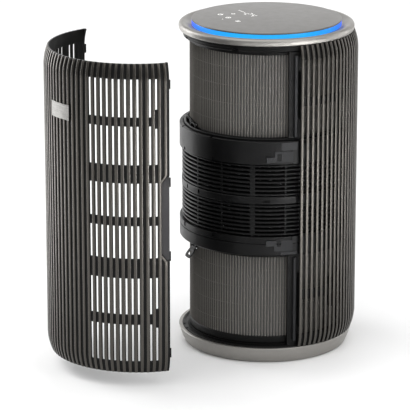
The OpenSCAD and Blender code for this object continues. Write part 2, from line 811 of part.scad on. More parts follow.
// Flat plate that fills the space between the outermost rib and the edge at the grip.
module grip_plates() {
    half = 6;
    slant = 13.8;
    color([0.36, 0.34, 0.37]) to_cover() for (side = [-1, 1]) mirror_to(side)
        at_phi(78.62) translate([body_r - 1.6, 0, 0]) rotate([90, 0, 90]) linear_extrude(1)
            polygon([
                [-half, grip_z0 + slant], [2, grip_z0 + 3.4], [half, grip_z0 + 3.4],
                [half, grip_z1 - 3.4], [2, grip_z1 - 3.4], [-half, grip_z1 - slant]]);
}

plate_lo = 0.803;
plate_hi = 0.852;
plate_phi = 7.6;
plate_half = 8.9;

module name_plate() {
    color(metal) to_cover() sweep(plate_phi - plate_half, plate_phi + plate_half)
        translate([body_r + 0.1, cover_at(plate_lo)])
            square([1, cover_h * (plate_hi - plate_lo)]);
}

base_plate();
rubber_feet();
base_screws();
base_skirt();
filter_seat();
power_inlet();
power_board();
lower_filter_media();
lower_filter_core();
lower_ring_bottom();
lower_ring_top();
lower_filter_gasket();
lower_tab_pin();
lower_pull_tab();
upper_filter_media();
upper_filter_core();
upper_ring_bottom();
upper_ring_top();
upper_filter_gasket();
upper_tab_pin();
upper_pull_tab();
lower_flange();
upper_flange();
lower_louvre();
upper_louvre();
middle_band();
cover_catches();
lower_inlet_ring();
upper_inlet_ring();
lower_finger_guard();
upper_finger_guard();
motor_mount();
motor_housing();
motor_stator();
motor_rotor();
motor_bearings();
fan_shaft();
fan_wheel();
rear_lattice();
rear_ribs();
left_pillar();
right_pillar();
pillar_strips();
wire_duct();
air_sensor();
top_collar();
cap_rim();
light_ring();
top_panel();
display_symbols();
control_board();
light_board();
cover_lattice();
cover_ribs();
cover_rails();
cover_clips();
grip_plates();
name_plate();
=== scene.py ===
import math
import random

import bmesh
import bpy
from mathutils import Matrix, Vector


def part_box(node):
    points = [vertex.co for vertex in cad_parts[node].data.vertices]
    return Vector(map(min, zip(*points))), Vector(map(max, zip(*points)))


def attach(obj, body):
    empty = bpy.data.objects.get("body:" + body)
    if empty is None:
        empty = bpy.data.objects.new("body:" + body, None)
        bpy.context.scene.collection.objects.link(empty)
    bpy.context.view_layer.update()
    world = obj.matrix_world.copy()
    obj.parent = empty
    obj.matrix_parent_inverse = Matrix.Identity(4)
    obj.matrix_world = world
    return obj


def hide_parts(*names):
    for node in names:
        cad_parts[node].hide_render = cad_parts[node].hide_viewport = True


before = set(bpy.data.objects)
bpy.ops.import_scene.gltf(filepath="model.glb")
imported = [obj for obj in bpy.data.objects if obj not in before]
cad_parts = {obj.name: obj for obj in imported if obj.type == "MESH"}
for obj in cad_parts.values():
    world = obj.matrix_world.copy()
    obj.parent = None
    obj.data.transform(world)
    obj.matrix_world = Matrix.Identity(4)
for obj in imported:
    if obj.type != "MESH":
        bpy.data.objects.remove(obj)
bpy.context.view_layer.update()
MM = 0.001

# ---- driving sizes, from the frame ----

shell_low, shell_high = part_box("rear_ribs")
cover_low, cover_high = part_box("cover_ribs")
BODY_R = shell_high.x
CASE_Z0, CASE_Z1 = shell_low.z, shell_high.z
COVER_Z0, COVER_Z1 = cover_low.z, cover_high.z
COVER_H = COVER_Z1 - COVER_Z0
COVER_OFF = -cover_low.y - BODY_R

# The skin draws in by END_IN over END_H at both ends.
END_H = 29 * MM
END_IN = 6.2 * MM

# Ribs stand RIB_STEP degrees apart, numbered from the middle of the cover.
RIB_STEP = 3.75
RIB_W = 4.6 * MM
REAR_FIRST = 22
REAR_COUNT = 53
COVER_LAST = 21
REAR_DEPTH = 3.0 * MM
COVER_DEPTH = 1.7 * MM

# The black lattice behind the ribs. Spans are shares of the cover's height, and directions and
# half widths ending in PHI or HALF are in degrees.
LATTICE_T = 1.4 * MM
UPRIGHT_W = 6.6 * MM
UPRIGHTS = range(8, 21)
COVER_HALF = 81.2
BAR_SPANS = ((0, 0.041), (0.162, 0.196), (0.314, 0.379), (0.4845, 0.514), (0.622, 0.681),
             (0.804, 0.833), (0.953, 1))
GRIP_LOW, GRIP_HIGH, GRIP_RISE = 0.365, 0.645, 12.6 * MM
BOSS_SPANS = ((0.15, 0.2125), (0.796, 0.856))
BOSS_PHI = 73.125
PANEL_HALF = 29.3
CHANNEL_PHI, CHANNEL_HALF = 77.6, 2.1
COVER_STIFFENERS = (-65.625, 65.625)
REAR_STIFFENERS = (110.625, 144.375, 178.125, 215.625, 249.375)

# Folds of each filter's paper
MEDIA_IN = 79.0 * MM
PLEATS = 160
PLEAT_POINTS = 8
PLEAT_DEPTH = 3.0 * MM
GLUE_LINES = 4

# Direction in degrees in which the light band is bluest, and the band's radius
BLUE_SIDE = 61.0
LIGHT_R = 118 * MM

# ---- points and outlines ----


def skin_r(z):
    """Radius of the ribbed skin at height z: straight, and drawn in on a curve at both ends."""
    to_end = min(z - CASE_Z0, CASE_Z1 - z)
    return BODY_R - END_IN * max(0, 1 - to_end / END_H) ** 2


def levels(low, high, steps=14, straight=6):
    """Heights from low to high, close together where the skin curves."""
    curve = [CASE_Z0 + END_H * i / steps for i in range(1, steps + 1)]
    curve += [CASE_Z1 - END_H * i / steps for i in range(steps, 0, -1)]
    span = CASE_Z1 - CASE_Z0 - 2 * END_H
    curve += [CASE_Z0 + END_H + span * i / straight for i in range(1, straight)]
    inner = sorted(z for z in curve if low + 0.4 * MM < z < high - 0.4 * MM)
    return [low, *inner, high]


def place(phi, r, z, shift=0.0, off=0.0):
    """Point at radius r in direction phi, from -Y towards +X. shift moves it along increasing phi,
    and off moves it towards -Y."""
    a = math.radians(phi)
    return (r * math.sin(a) + shift * math.cos(a), -r * math.cos(a) + shift * math.sin(a) - off, z)


def cover_at(share):
    """Height at a share of the cover's height."""
    return COVER_Z0 + COVER_H * share


def rounded(points, radius, steps=3):
    """Closed outline whose corners are curves. A point's third value is its own radius."""
    out = []
    for i, point in enumerate(points):
        corner = Vector(point[:2])
        size = point[2] if len(point) > 2 else radius
        before = Vector(points[i - 1][:2]) - corner
        after = Vector(points[(i + 1) % len(points)][:2]) - corner
        cut = min(size, before.length * 0.45, after.length * 0.45)
        if cut <= 0:
            out.append(tuple(corner))
            continue
        start, end = corner + before.normalized() * cut, corner + after.normalized() * cut
        for k in range(steps + 1):
            t = k / steps
            out.append(tuple(start * (1 - t) ** 2 + corner * 2 * t * (1 - t) + end * t * t))
    return out


def mm(points):
    """The same points in metres, with any corner radius."""
    return [tuple(v * MM for v in p) for p in points]


class Shape:
    """Vertices and faces of one piece, added part by part."""

    def __init__(self):
        self.verts, self.faces = [], []

    def loft(self, rings, closed=False):
        """Skins rings of equal length, each a closed outline. closed joins the last to the first."""
        base, n, count = len(self.verts), len(rings[0]), len(rings)
        for ring in rings:
            self.verts.extend(ring)
        for i in range(count if closed else count - 1):
            a, b = base + i * n, base + (i + 1) % count * n
            for k in range(n):
                m = (k + 1) % n
                self.faces.append((a + k, a + m, b + m, b + k))
        if not closed:
            self.faces.append(tuple(base + k for k in range(n))[::-1])
            self.faces.append(tuple(base + (count - 1) * n + k for k in range(n)))

    def lathe(self, outline, start=0.0, end=360.0, segments=256, off=0.0):
        """Turns a closed outline of (radius, height) about the upright axis."""
        full = end - start >= 360
        count = segments if full else segments + 1
        self.loft([[place(start + (end - start) * i / segments, r, z, 0, off) for r, z in outline]
                   for i in range(count)], full)

    def bar_along(self, path, section, off=0.0):
        """Bar on the skin along a path of (height, direction). section holds points of
        (depth outwards, shift along the direction)."""
        self.loft([[place(phi, skin_r(z) + depth, z, shift, off) for depth, shift in section]
                   for z, phi in path])

    def bar(self, phi, section, low, high, off=0.0):
        """Upright bar on the skin."""
        self.bar_along([(z, phi) for z in levels(low, high)], section, off)

    def block(self, phi, r0, r1, width, z0, z1, radius, shift=0.0, off=0.0):
        """Block with rounded upright edges and eased ends."""
        outline = rounded([(r0, shift - width / 2), (r1, shift - width / 2),
                           (r1, shift + width / 2), (r0, shift + width / 2)], radius)
        middle = Vector(((r0 + r1) / 2, shift))
        rings = []
        for z, inset in ((z0, 1), (z0 + radius * 0.3, 0.3), (z0 + radius, 0),
                         (z1 - radius, 0), (z1 - radius * 0.3, 0.3), (z1, 1)):
            ring = []
            for r, s in outline:
                away = Vector((r, s)) - middle
                away *= 1 - inset * radius / max(abs(away.x), abs(away.y))
                ring.append(place(phi, middle.x + away.x, z, middle.y + away.y, off))
            rings.append(ring)
        self.loft(rings)

    def build(self, name, body, material, nodes, sharp=38):
        """Makes the piece, smooth up to the sharp angle, in place of the CAD nodes."""
        mesh = bpy.data.meshes.new(name)
        mesh.from_pydata(self.verts, [], self.faces)
        work = bmesh.new()
        work.from_mesh(mesh)
        bmesh.ops.remove_doubles(work, verts=work.verts, dist=0.002 * MM)
        bmesh.ops.recalc_face_normals(work, faces=work.faces)
        work.to_mesh(mesh)
        work.free()
        mesh.polygons.foreach_set("use_smooth", [True] * len(mesh.polygons))
        mesh.set_sharp_from_angle(angle=math.radians(sharp))
        mesh.materials.append(material)
        piece = bpy.data.objects.new(name, mesh)
        bpy.context.scene.collection.objects.link(piece)
        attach(piece, body)
        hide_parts(*nodes)


# ---- materials ----


class Nodes:
    """A material's node tree, with short calls for the nodes that the finishes share."""

    def __init__(self, name):
        self.material = bpy.data.materials.new(name)
        self.material.use_nodes = True
        self.tree = self.material.node_tree
        self.shader = self.tree.nodes["Principled BSDF"]
        self.coords = self.tree.nodes.new("ShaderNodeTexCoord").outputs["Object"]

    def add(self, kind, inputs=(), **settings):
        """New node. inputs maps names or numbers of its sockets to other sockets or values."""
        node = self.tree.nodes.new("ShaderNode" + kind)
        for key, value in settings.items():
            setattr(node, key, value)
        for key, value in dict(inputs).items():
            if isinstance(value, bpy.types.NodeSocket):
                self.tree.links.new(value, node.inputs[key])
            else:
                node.inputs[key].default_value = value
        return node

    def link(self, source, name):
        """Feeds one of the shader's sockets."""
        self.tree.links.new(source, self.shader.inputs[name])

    def set(self, **values):
        """Sets the shader's sockets. An underscore in a name stands for a space."""
        for key, value in values.items():
            self.shader.inputs[key.replace("_", " ")].default_value = value

    def stretched(self, scale):
        """Coordinates scaled by a factor for each axis."""
        return self.add("Mapping", {"Vector": self.coords, "Scale": scale}).outputs[0]

    def noise(self, scale, detail=2.0, vector=None, rough=0.5):
        return self.add("TexNoise", {"Vector": vector or self.coords, "Scale": scale,
                                     "Detail": detail, "Roughness": rough}).outputs["Fac"]

    def remap(self, value, low, high, from_low=0.3, from_high=0.7):
        """Takes from_low to from_high over to low to high, and holds them there beyond."""
        return self.add("MapRange", {"Value": value, "From Min": from_low, "From Max": from_high,
                                     "To Min": low, "To Max": high}).outputs[0]

    def mix(self, factor, first, second):
        """Blend of two colours."""
        return self.add("Mix", {0: factor, 6: first, 7: second}, data_type="RGBA").outputs[2]

    def math(self, operation, first, second):
        return self.add("Math", {0: first, 1: second}, operation=operation).outputs[0]

    def dimmed(self, colour, factor):
        """Colour times a factor."""
        return self.add("VectorMath", {0: colour, "Scale": factor}, operation="SCALE").outputs[0]

    def edges(self, radius):
        """Near 1 on an edge of about that radius and 0 on open faces."""
        soft = self.add("Bevel", {"Radius": radius}, samples=4).outputs[0]
        true = self.add("NewGeometry").outputs["True Normal"]
        same = self.add("VectorMath", {0: soft, 1: true}, operation="DOT_PRODUCT").outputs["Value"]
        return self.remap(same, 1.0, 0.0, 0.75, 0.99)

    def bump(self, height, distance, normal=None):
        """Relief whose full height is distance, on top of any other normal."""
        inputs = {"Height": height, "Distance": distance, "Strength": 1.0}
        if normal is not None:
            inputs["Normal"] = normal
        return self.add("Bump", inputs).outputs[0]


def shade(r, g, b):
    """Opaque colour."""
    return (r, g, b, 1.0)


def paint(name, dark, light, metallic, rough, peel=0.012, wear_and_highlight=0.35, uneven=0.05):
    """Fine metallic paint: flakes, slight orange peel, uneven gloss, and edges made brighter as wear
    and as a painted highlight.
    """
    n = Nodes(name)
    n.set(Metallic=metallic)
    flakes = n.noise(2600.0, 1.0)
    cloud = n.noise(14.0, 3.0)
    tone = n.math("ADD", n.math("MULTIPLY", flakes, 0.6), n.math("MULTIPLY", cloud, 0.4))
    colour = n.mix(n.remap(tone, 0.0, 1.0, 0.36, 0.64), shade(*dark), shade(*light))
    # Edges are painted brighter: partly wear, partly a painted highlight.
    wear_and_highlight_tint = tuple(min(1, c * 1.35) for c in light)
    colour = n.mix(n.math("MULTIPLY", n.edges(0.5 * MM), wear_and_highlight), colour, shade(*wear_and_highlight_tint))
    n.link(colour, "Base Color")
    n.link(n.remap(n.noise(90.0, 3.0), rough - uneven, rough + uneven), "Roughness")
    peel_bump = n.bump(n.noise(520.0, 2.0), peel * MM)
    n.link(n.bump(flakes, 0.0006 * MM, peel_bump), "Normal")
    return n.material


def plastic(name, dark, light, rough, spread=0.08, grain=1500.0, depth=0.02, wear_and_highlight=0.4,
            gleam=0.5, lit=0.0):
    """Moulded plastic: fine spark-eroded grain, smudged gloss, and edges made paler as wear and as a
    painted highlight.
    gleam is its specular level, and lit makes it shine by itself."""
    n = Nodes(name)
    n.set(Specular_IOR_Level=gleam, Emission_Color=shade(1, 1, 1), Emission_Strength=lit)
    colour = n.mix(n.remap(n.noise(22.0, 4.0), 0.0, 1.0), shade(*dark), shade(*light))
    # Edges are painted paler: partly wear, partly a painted highlight.
    pale_wear_and_highlight = tuple(min(1, c * 2.6 + 0.01) for c in light)
    colour = n.mix(n.math("MULTIPLY", n.edges(0.4 * MM), wear_and_highlight), colour, shade(*pale_wear_and_highlight))
    n.link(colour, "Base Color")
    smudge = n.noise(38.0, 5.0, rough=0.62)
    n.link(n.remap(smudge, rough - spread, rough + spread), "Roughness")
    n.link(n.bump(n.noise(grain, 2.0), depth * MM), "Normal")
    return n.material


def metal(name, dark, light, rough, stretch=(1, 1, 1), scale=900.0, depth=0.01):
    """Bare metal with fine marks drawn out along the axis whose stretch is small."""
    n = Nodes(name)
    n.set(Metallic=1.0)
    marks = n.noise(scale, 4.0, n.stretched(stretch))
    n.link(n.mix(n.remap(marks, 0.0, 1.0), shade(*dark), shade(*light)), "Base Color")
    n.link(n.remap(marks, rough - 0.08, rough + 0.1), "Roughness")
    n.link(n.bump(marks, depth * MM), "Normal")
    return n.material


def filter_paper():
    """Matted fibre paper: crossed fibres, soft clouds, painted shade deep in the folds, painted
    light at their tips and a fuzzy sheen.
    """
    n = Nodes("filter_paper")
    n.set(Sheen_Weight=0.25, Sheen_Roughness=0.6)
    across = n.noise(900.0, 3.0, n.stretched((1, 1, 0.25)))
    along = n.noise(900.0, 3.0, n.stretched((0.3, 0.3, 1.6)))
    fibres = n.math("MULTIPLY", across, along)
    paper = n.mix(n.remap(fibres, 0.0, 1.0, 0.12, 0.4), shade(0.095, 0.088, 0.078),
                  shade(0.145, 0.135, 0.12))
    cloud = n.remap(n.noise(26.0, 4.0), 0.0, 0.5)
    paper = n.mix(cloud, paper, shade(0.105, 0.098, 0.087))
    # Painted shade and light: the paper's colour is scaled from 0.3 deep in the folds up to 1.15 at
    # their tips, by distance from the axis.
    flat = n.add("VectorMath", {0: n.coords, 1: (1, 1, 0)}, operation="MULTIPLY").outputs[0]
    radius = n.add("VectorMath", {0: flat}, operation="LENGTH").outputs["Value"]
    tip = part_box("upper_filter_media")[1].x
    fold_shade_and_light = n.remap(radius, 0.3, 1.15, tip - 0.6 * PLEAT_DEPTH, tip - 0.1 * PLEAT_DEPTH)
    n.link(n.dimmed(paper, fold_shade_and_light), "Base Color")
    n.link(n.remap(fibres, 0.82, 0.97, 0.1, 0.45), "Roughness")
    n.link(n.bump(fibres, 0.12 * MM), "Normal")
    return n.material


def glow():
    """Lit light guide: blue towards one side, running to violet round the rest of the band."""
    n = Nodes("light_band")
    n.set(Base_Color=shade(0.02, 0.05, 0.1), Roughness=0.3, Emission_Strength=1.0)
    facing = n.add("VectorMath", {0: n.coords, 1: place(BLUE_SIDE, 1 / LIGHT_R, 0)},
                   operation="DOT_PRODUCT").outputs["Value"]
    ramp = n.add("ValToRGB", {"Fac": facing})
    stops = ((0.0, shade(0.10, 0.06, 0.55)), (0.16, shade(0.02, 0.10, 0.9)),
             (0.4, shade(0.0, 0.2, 1.0)), (0.9, shade(0.0, 0.42, 1.0)))
    ramp.color_ramp.elements[0].position, ramp.color_ramp.elements[0].color = stops[0]
    ramp.color_ramp.elements[1].position, ramp.color_ramp.elements[1].color = stops[3]
    for position, colour in stops[1:3]:
        ramp.color_ramp.elements.new(position).color = colour
    soft = n.remap(n.noise(160.0, 2.0), 0.94, 1.06)
    n.link(n.dimmed(ramp.outputs[0], soft), "Emission Color")
    n.link(n.bump(n.noise(700.0, 1.0), 0.01 * MM), "Normal")
    return n.material


def circuit_board():
    """Green solder mask over a raised net of copper tracks."""
    n = Nodes("circuit_board")
    tracks = n.add("TexBrick", {"Vector": n.coords, "Scale": 160.0, "Mortar Size": 0.03,
                                "Color1": shade(0, 0, 0), "Color2": shade(0, 0, 0),
                                "Mortar": shade(1, 1, 1)}).outputs["Color"]
    n.link(n.mix(tracks, shade(0.012, 0.085, 0.03), shade(0.03, 0.16, 0.06)), "Base Color")
    n.link(n.remap(n.noise(120.0, 3.0), 0.28, 0.45), "Roughness")
    n.link(n.bump(tracks, 0.05 * MM), "Normal")
    return n.material


CHAMPAGNE = paint("champagne_paint", (0.285, 0.274, 0.258), (0.31, 0.3, 0.284), 0.9, 0.44)
# Painted shade: the ribs' paint is a much darker copy of the champagne paint, standing in for the
# dark reflections on the ribs.
SHADED_RIB_PAINT = paint("rib_paint", (0.07, 0.0652, 0.0587), (0.0755, 0.0705, 0.064), 0.9, 0.24,
                  peel=0.0003, wear_and_highlight=0.1, uneven=0.012)
# Painted shade: the top panel's paint is a darker copy of the champagne paint, holding back the
# overhead light on its upward face.
SHADED_TOP_PAINT = paint("shaded_top_panel_paint", (0.143, 0.137, 0.129), (0.15, 0.144, 0.136), 0.8, 0.38,
                  uneven=0.02)
BLACK = plastic("satin_black_plastic", (0.003, 0.003, 0.003), (0.0055, 0.0053, 0.0052), 0.46,
                wear_and_highlight=0.25, gleam=0.13)
GLOSS = plastic("housing_black_plastic", (0.003, 0.003, 0.0032), (0.005, 0.005, 0.0052), 0.36,
                spread=0.06, grain=1100.0, depth=0.01, wear_and_highlight=0.2, gleam=0.15)
TAB = plastic("tab_black_plastic", (0.004, 0.004, 0.004), (0.006, 0.006, 0.006), 0.5, wear_and_highlight=0.05,
              gleam=0.15)
FAN = plastic("fan_plastic", (0.02, 0.02, 0.021), (0.035, 0.035, 0.036), 0.5)
RUBBER = plastic("foot_rubber", (0.012, 0.012, 0.012), (0.022, 0.022, 0.022), 0.82,
                 spread=0.06, grain=700.0, depth=0.05)
GRIP = plastic("grip_plate_plastic", (0.022, 0.0205, 0.022), (0.029, 0.027, 0.029), 0.5,
               spread=0.06, grain=1700.0, depth=0.012, wear_and_highlight=0.5, gleam=0.3)
STRIP = plastic("grey_strip_plastic", (0.014, 0.0143, 0.0155), (0.02, 0.0206, 0.022), 0.45,
                gleam=0.2)
PRINT = plastic("white_print", (0.72, 0.71, 0.69), (0.85, 0.84, 0.82), 0.5,
                spread=0.05, grain=1200.0, depth=0.004, wear_and_highlight=0, lit=0.5)
STEEL = metal("bright_steel", (0.42, 0.42, 0.43), (0.62, 0.62, 0.63), 0.28)
ALLOY = metal("cast_alloy", (0.35, 0.35, 0.36), (0.5, 0.5, 0.51), 0.45)
COPPER = metal("winding_copper", (0.42, 0.17, 0.07), (0.75, 0.36, 0.18), 0.33,
               stretch=(1, 1, 0.1), scale=1400.0, depth=0.05)
PLATE = metal("brushed_plate", (0.12, 0.118, 0.113), (0.26, 0.255, 0.245), 0.34,
              stretch=(0.02, 0.02, 1), scale=3000.0, depth=0.012)
PAPER = filter_paper()
GLOW = glow()
BOARD = circuit_board()

FINISH = {
    BLACK: "base_plate filter_seat lower_ring_bottom lower_ring_top upper_ring_bottom "
           "upper_ring_top power_inlet left_pillar right_pillar wire_duct top_collar air_sensor "
           "cover_rails cover_clips",
    RUBBER: "rubber_feet lower_filter_gasket upper_filter_gasket",
    STEEL: "base_screws lower_tab_pin upper_tab_pin lower_finger_guard upper_finger_guard "
           "motor_bearings fan_shaft",
    ALLOY: "motor_housing",
    COPPER: "motor_stator",
    FAN: "lower_filter_core upper_filter_core lower_inlet_ring upper_inlet_ring motor_mount "
         "motor_rotor fan_wheel",
    BOARD: "power_board control_board light_board",
    GLOSS: "lower_flange upper_flange middle_band",
    STRIP: "pillar_strips cover_catches",
    PRINT: "display_symbols",
    GRIP: "grip_plates",
    PLATE: "name_plate",
}


def finish_nodes():
    """Gives each CAD node that stays in view its finish."""
    for material, names in FINISH.items():
        for name in names.split():
            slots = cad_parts[name].data.materials
            slots.clear()
            slots.append(material)


# ---- ribbed casing and cover ----


def rib_section(depth, crown):
    """Rib with a slightly crowned face and a back that tucks into the lattice."""
    half = RIB_W / 2
    face = [(-crown * abs(t) ** 3, t * half)
            for t in (-1, -0.93, -0.8, -0.6, -0.35, 0, 0.35, 0.6, 0.8, 0.93, 1)]
    return [(-depth - 0.1 * MM, -half), *face, (-depth - 0.1 * MM, half)]


def skin_band(low, high, outer, inner, radius):
    """Outline of an upright band that follows the skin between two depths."""
    zs = levels(low, high, 8, 2)
    face = [(skin_r(z) - outer, z, radius if z in (low, high) else 0) for z in zs]
    back = [(skin_r(z) - inner, z, radius if z in (low, high) else 0) for z in reversed(zs)]
    return rounded(face + back, 0, 3)


def rim_lips(shape, z0, z1, depth, start, end, off=0.0):
    """Strips behind the ribs' ends, which tie them together."""
    for low, high in ((z0 + 0.05 * MM, z0 + 3 * MM), (z1 - 3 * MM, z1 - 0.05 * MM)):
        shape.lathe(skin_band(low, high, depth - 0.9 * MM, depth + 0.3 * MM, 0.3 * MM), start, end,
                    160, off)


def lattice(shape, z0, z1, depth, start, end, stiffeners, off=0.0):
    """Black grid behind the ribs: level bars, and thin uprights in the stiffeners' directions."""
    for low, high in BAR_SPANS:
        low_z = z0 if low == 0 else cover_at(low)
        high_z = z1 if high == 1 else cover_at(high)
        shape.lathe(skin_band(low_z, high_z, depth, depth + LATTICE_T, 0.35 * MM), start, end,
                    160, off)
    thin = rounded([(-depth - 0.2 * MM, -3 * MM), (-depth - 0.2 * MM, 3 * MM),
                    (-depth - LATTICE_T + 0.2 * MM, 3 * MM),
                    (-depth - LATTICE_T + 0.2 * MM, -3 * MM)], 0.25 * MM, 2)
    for phi in stiffeners:
        shape.bar(phi, thin, z0 + 1 * MM, z1 - 1 * MM, off)


def rear_casing():
    """Ribs round the sides and back, on their lattice."""
    ribs = Shape()
    section = rib_section(REAR_DEPTH, 0.75 * MM)
    for k in range(REAR_COUNT):
        ribs.bar(RIB_STEP * (REAR_FIRST + k), section, CASE_Z0, CASE_Z1)
    ribs.build("rear_rib_shell", "main_unit", SHADED_RIB_PAINT, ["rear_ribs"])
    grid = Shape()
    first = RIB_STEP * REAR_FIRST
    rim_lips(grid, CASE_Z0, CASE_Z1, REAR_DEPTH, first - 0.5, 360.5 - first)
    start = first + 0.6
    lattice(grid, CASE_Z0, CASE_Z1, REAR_DEPTH, start, 360 - start, REAR_STIFFENERS)
    grid.build("rear_grid", "main_unit", BLACK, ["rear_lattice"])


def cover_skin():
    """The cover's ribs. The outermost one steps aside to its neighbour round the grip."""
    ribs = Shape()
    section = rib_section(COVER_DEPTH, 0.6 * MM)
    grip_z0, grip_z1 = cover_at(GRIP_LOW), cover_at(GRIP_HIGH)
    for k in range(-COVER_LAST + 1, COVER_LAST):
        ribs.bar(RIB_STEP * k, section, COVER_Z0, COVER_Z1, COVER_OFF)
    for side in (-1, 1):
        edge, beside = side * RIB_STEP * COVER_LAST, side * RIB_STEP * (COVER_LAST - 1)
        low = [(z, edge) for z in levels(COVER_Z0, grip_z0)] + [(grip_z0 + GRIP_RISE, beside)]
        high = [(grip_z1 - GRIP_RISE, beside)] + [(z, edge) for z in levels(grip_z1, COVER_Z1)]
        ribs.bar_along(low, section, COVER_OFF)
        ribs.bar_along(high, section, COVER_OFF)
    ribs.build("cover_rib_shell", "front_cover", SHADED_RIB_PAINT, ["cover_ribs"])


def cover_frame():
    """The cover's lattice, with its slotted sides, closed middle, edge channels and bosses."""
    grid = Shape()
    reach = COVER_HALF - 1.45
    lattice(grid, COVER_Z0, COVER_Z1, COVER_DEPTH, -reach, reach, COVER_STIFFENERS, COVER_OFF)
    rim_lips(grid, COVER_Z0, COVER_Z1, COVER_DEPTH, -reach, reach, COVER_OFF)
    upright = rounded([(-COVER_DEPTH - 0.1 * MM, -UPRIGHT_W / 2),
                       (-COVER_DEPTH - 0.1 * MM, UPRIGHT_W / 2),
                       (-COVER_DEPTH - 1 * MM, UPRIGHT_W / 2),
                       (-COVER_DEPTH - 1 * MM, -UPRIGHT_W / 2)], 0.25 * MM, 2)
    for k in UPRIGHTS:
        for side in (-1, 1):
            grid.bar(side * RIB_STEP * k, upright, COVER_Z0 + 1 * MM, COVER_Z1 - 1 * MM, COVER_OFF)
    sheet = skin_band(COVER_Z0 + 1 * MM, COVER_Z1 - 1 * MM, COVER_DEPTH + 0.1 * MM,
                      COVER_DEPTH + LATTICE_T - 0.1 * MM, 0.3 * MM)
    grid.lathe(sheet, -PANEL_HALF, PANEL_HALF, 64, COVER_OFF)
    for side in (-1, 1):
        grid.lathe(sheet, side * CHANNEL_PHI - CHANNEL_HALF, side * CHANNEL_PHI + CHANNEL_HALF, 8,
                   COVER_OFF)
        for low, high in BOSS_SPANS:
            grid.block(side * BOSS_PHI, BODY_R - COVER_DEPTH - LATTICE_T - 0.8 * MM,
                       BODY_R - COVER_DEPTH - 0.1 * MM, 6 * MM, cover_at(low), cover_at(high),
                       0.5 * MM, 0, COVER_OFF)
    grid.build("cover_grid", "front_cover", BLACK, ["cover_lattice"])


cover_skin()
cover_frame()
rear_casing()

# ---- lathed shells ----

# Outlines of (radius, height) in mm. A third value is that corner's own radius.
BASE_SKIRT = [(128.6, 1.2), (130.2, 1.2), (130.6, 1.8), (130.6, 3), (131.2, 3.6), (133.4, 8, 4),
              (135.7, 13.6, 5), (137.4, 19, 4), (138.6, 23.4, 1.5), (138.9, 24.6, 0.6),
              (138.4, 25.4, 0.5), (133.2, 25.4, 0.4), (133.2, 21.6), (128.6, 7.4)]
CAP_RIM = [(112, 517), (128.6, 517), (131.6, 516.4), (133.6, 512.4), (133.6, 512.3),
           (137, 512.3, 0.3), (137.9, 513.4, 0.8), (138.4, 516, 1.5), (138.5, 518.8, 1.5),
           (138, 520.8, 1.2), (136.6, 522.4, 1.2), (134.4, 523.3, 1.2), (132, 523.4, 1.5),
           (129.6, 522.8, 1.5), (121.4, 519.6, 0.6), (120.4, 519.2, 0.3), (112, 519.2)]
TOP_PANEL = [(0, 526.8, 0), (113.6, 526.8), (113.6, 519.2), (115.6, 519.2), (115.6, 526.4),
             (117.6, 526.4), (117.6, 526.8), (118.3, 527, 0.1), (118.3, 528.2, 0.5),
             (117.5, 528.8, 0.5), (0, 528.8, 0)]
LIGHT_RING = [(116.4, 519.2), (118.3, 519.2), (118.3, 526.2), (116.4, 526.2)]


def lathed(name, outline, radius, material, nodes):
    """Piece turned from an outline in mm, with corners of the given radius."""
    shape = Shape()
    shape.lathe(rounded(mm(outline), radius * MM, 4), 0, 360, 384)
    shape.build(name, "main_unit", material, nodes)


lathed("base_shell", BASE_SKIRT, 0.2, CHAMPAGNE, ["base_skirt"])
lathed("cap_shell", CAP_RIM, 0.2, CHAMPAGNE, ["cap_rim"])
lathed("touch_panel", TOP_PANEL, 0.1, SHADED_TOP_PAINT, ["top_panel"])
lathed("light_guide", LIGHT_RING, 0.3, GLOW, ["light_ring"])

# ---- filters ----


def pleated_media(name, node, seed):
    """Folded paper with round fold tips, uneven folds and thin glue lines across the tips."""
    low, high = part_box(node)
    outer = high.x - 0.05 * MM
    rng = random.Random(seed)
    lean = [rng.uniform(-0.05, 0.05) for _ in range(PLEATS)]
    sag = [rng.uniform(0, 0.18) * MM for _ in range(PLEATS)]
    wave = [rng.uniform(0, 2 * math.pi) for _ in range(PLEATS)]
    rings = []
    steps = 12
    for i in range(steps + 1):
        t = i / steps
        ring = []
        for k in range(PLEATS * PLEAT_POINTS):
            pleat, part = divmod(k, PLEAT_POINTS)
            across = part / PLEAT_POINTS
            fold = abs(2 * across - 1)
            drift = lean[pleat] + 0.03 * math.sin(wave[pleat] + 5.0 * t)
            phi = 360 / PLEATS * (pleat + across + drift * (1 - fold))
            r = outer - sag[pleat] - PLEAT_DEPTH * fold ** 1.35
            ring.append(place(phi, r, low.z + (high.z - low.z) * t))
        rings.append(ring)
    inside = [[place(360 / PLEATS * k / PLEAT_POINTS, MEDIA_IN, z)
               for k in range(PLEATS * PLEAT_POINTS)] for z in (high.z, low.z)]
    paper = Shape()
    paper.loft(rings + inside, True)
    for i in range(GLUE_LINES):
        z = low.z + (high.z - low.z) * (i + 0.75) / (GLUE_LINES + 0.5)
        bead = rounded([(outer - 1.6 * MM, z - 0.3 * MM), (outer - 0.9 * MM, z - 0.3 * MM),
                        (outer - 0.9 * MM, z + 0.3 * MM), (outer - 1.6 * MM, z + 0.3 * MM)],
                       0.25 * MM)
        paper.lathe(bead, 0, 360, 480)
    paper.build(name, "main_unit", PAPER, [node], 70)


pleated_media("lower_pleats", "lower_filter_media", 3)
pleated_media("upper_pleats", "upper_filter_media", 8)

# ---- pull tabs ----

TAB_PHI, TAB_R, TAB_LEAN = -6.3, 124.2 * MM, 38.0
TAB_HALF, TAB_LEN, TAB_THICK = 10 * MM, 20 * MM, 1.8 * MM
TAB_STRIP, TAB_STEM, TAB_BARREL = 5.6 * MM, 6 * MM, 2.15 * MM


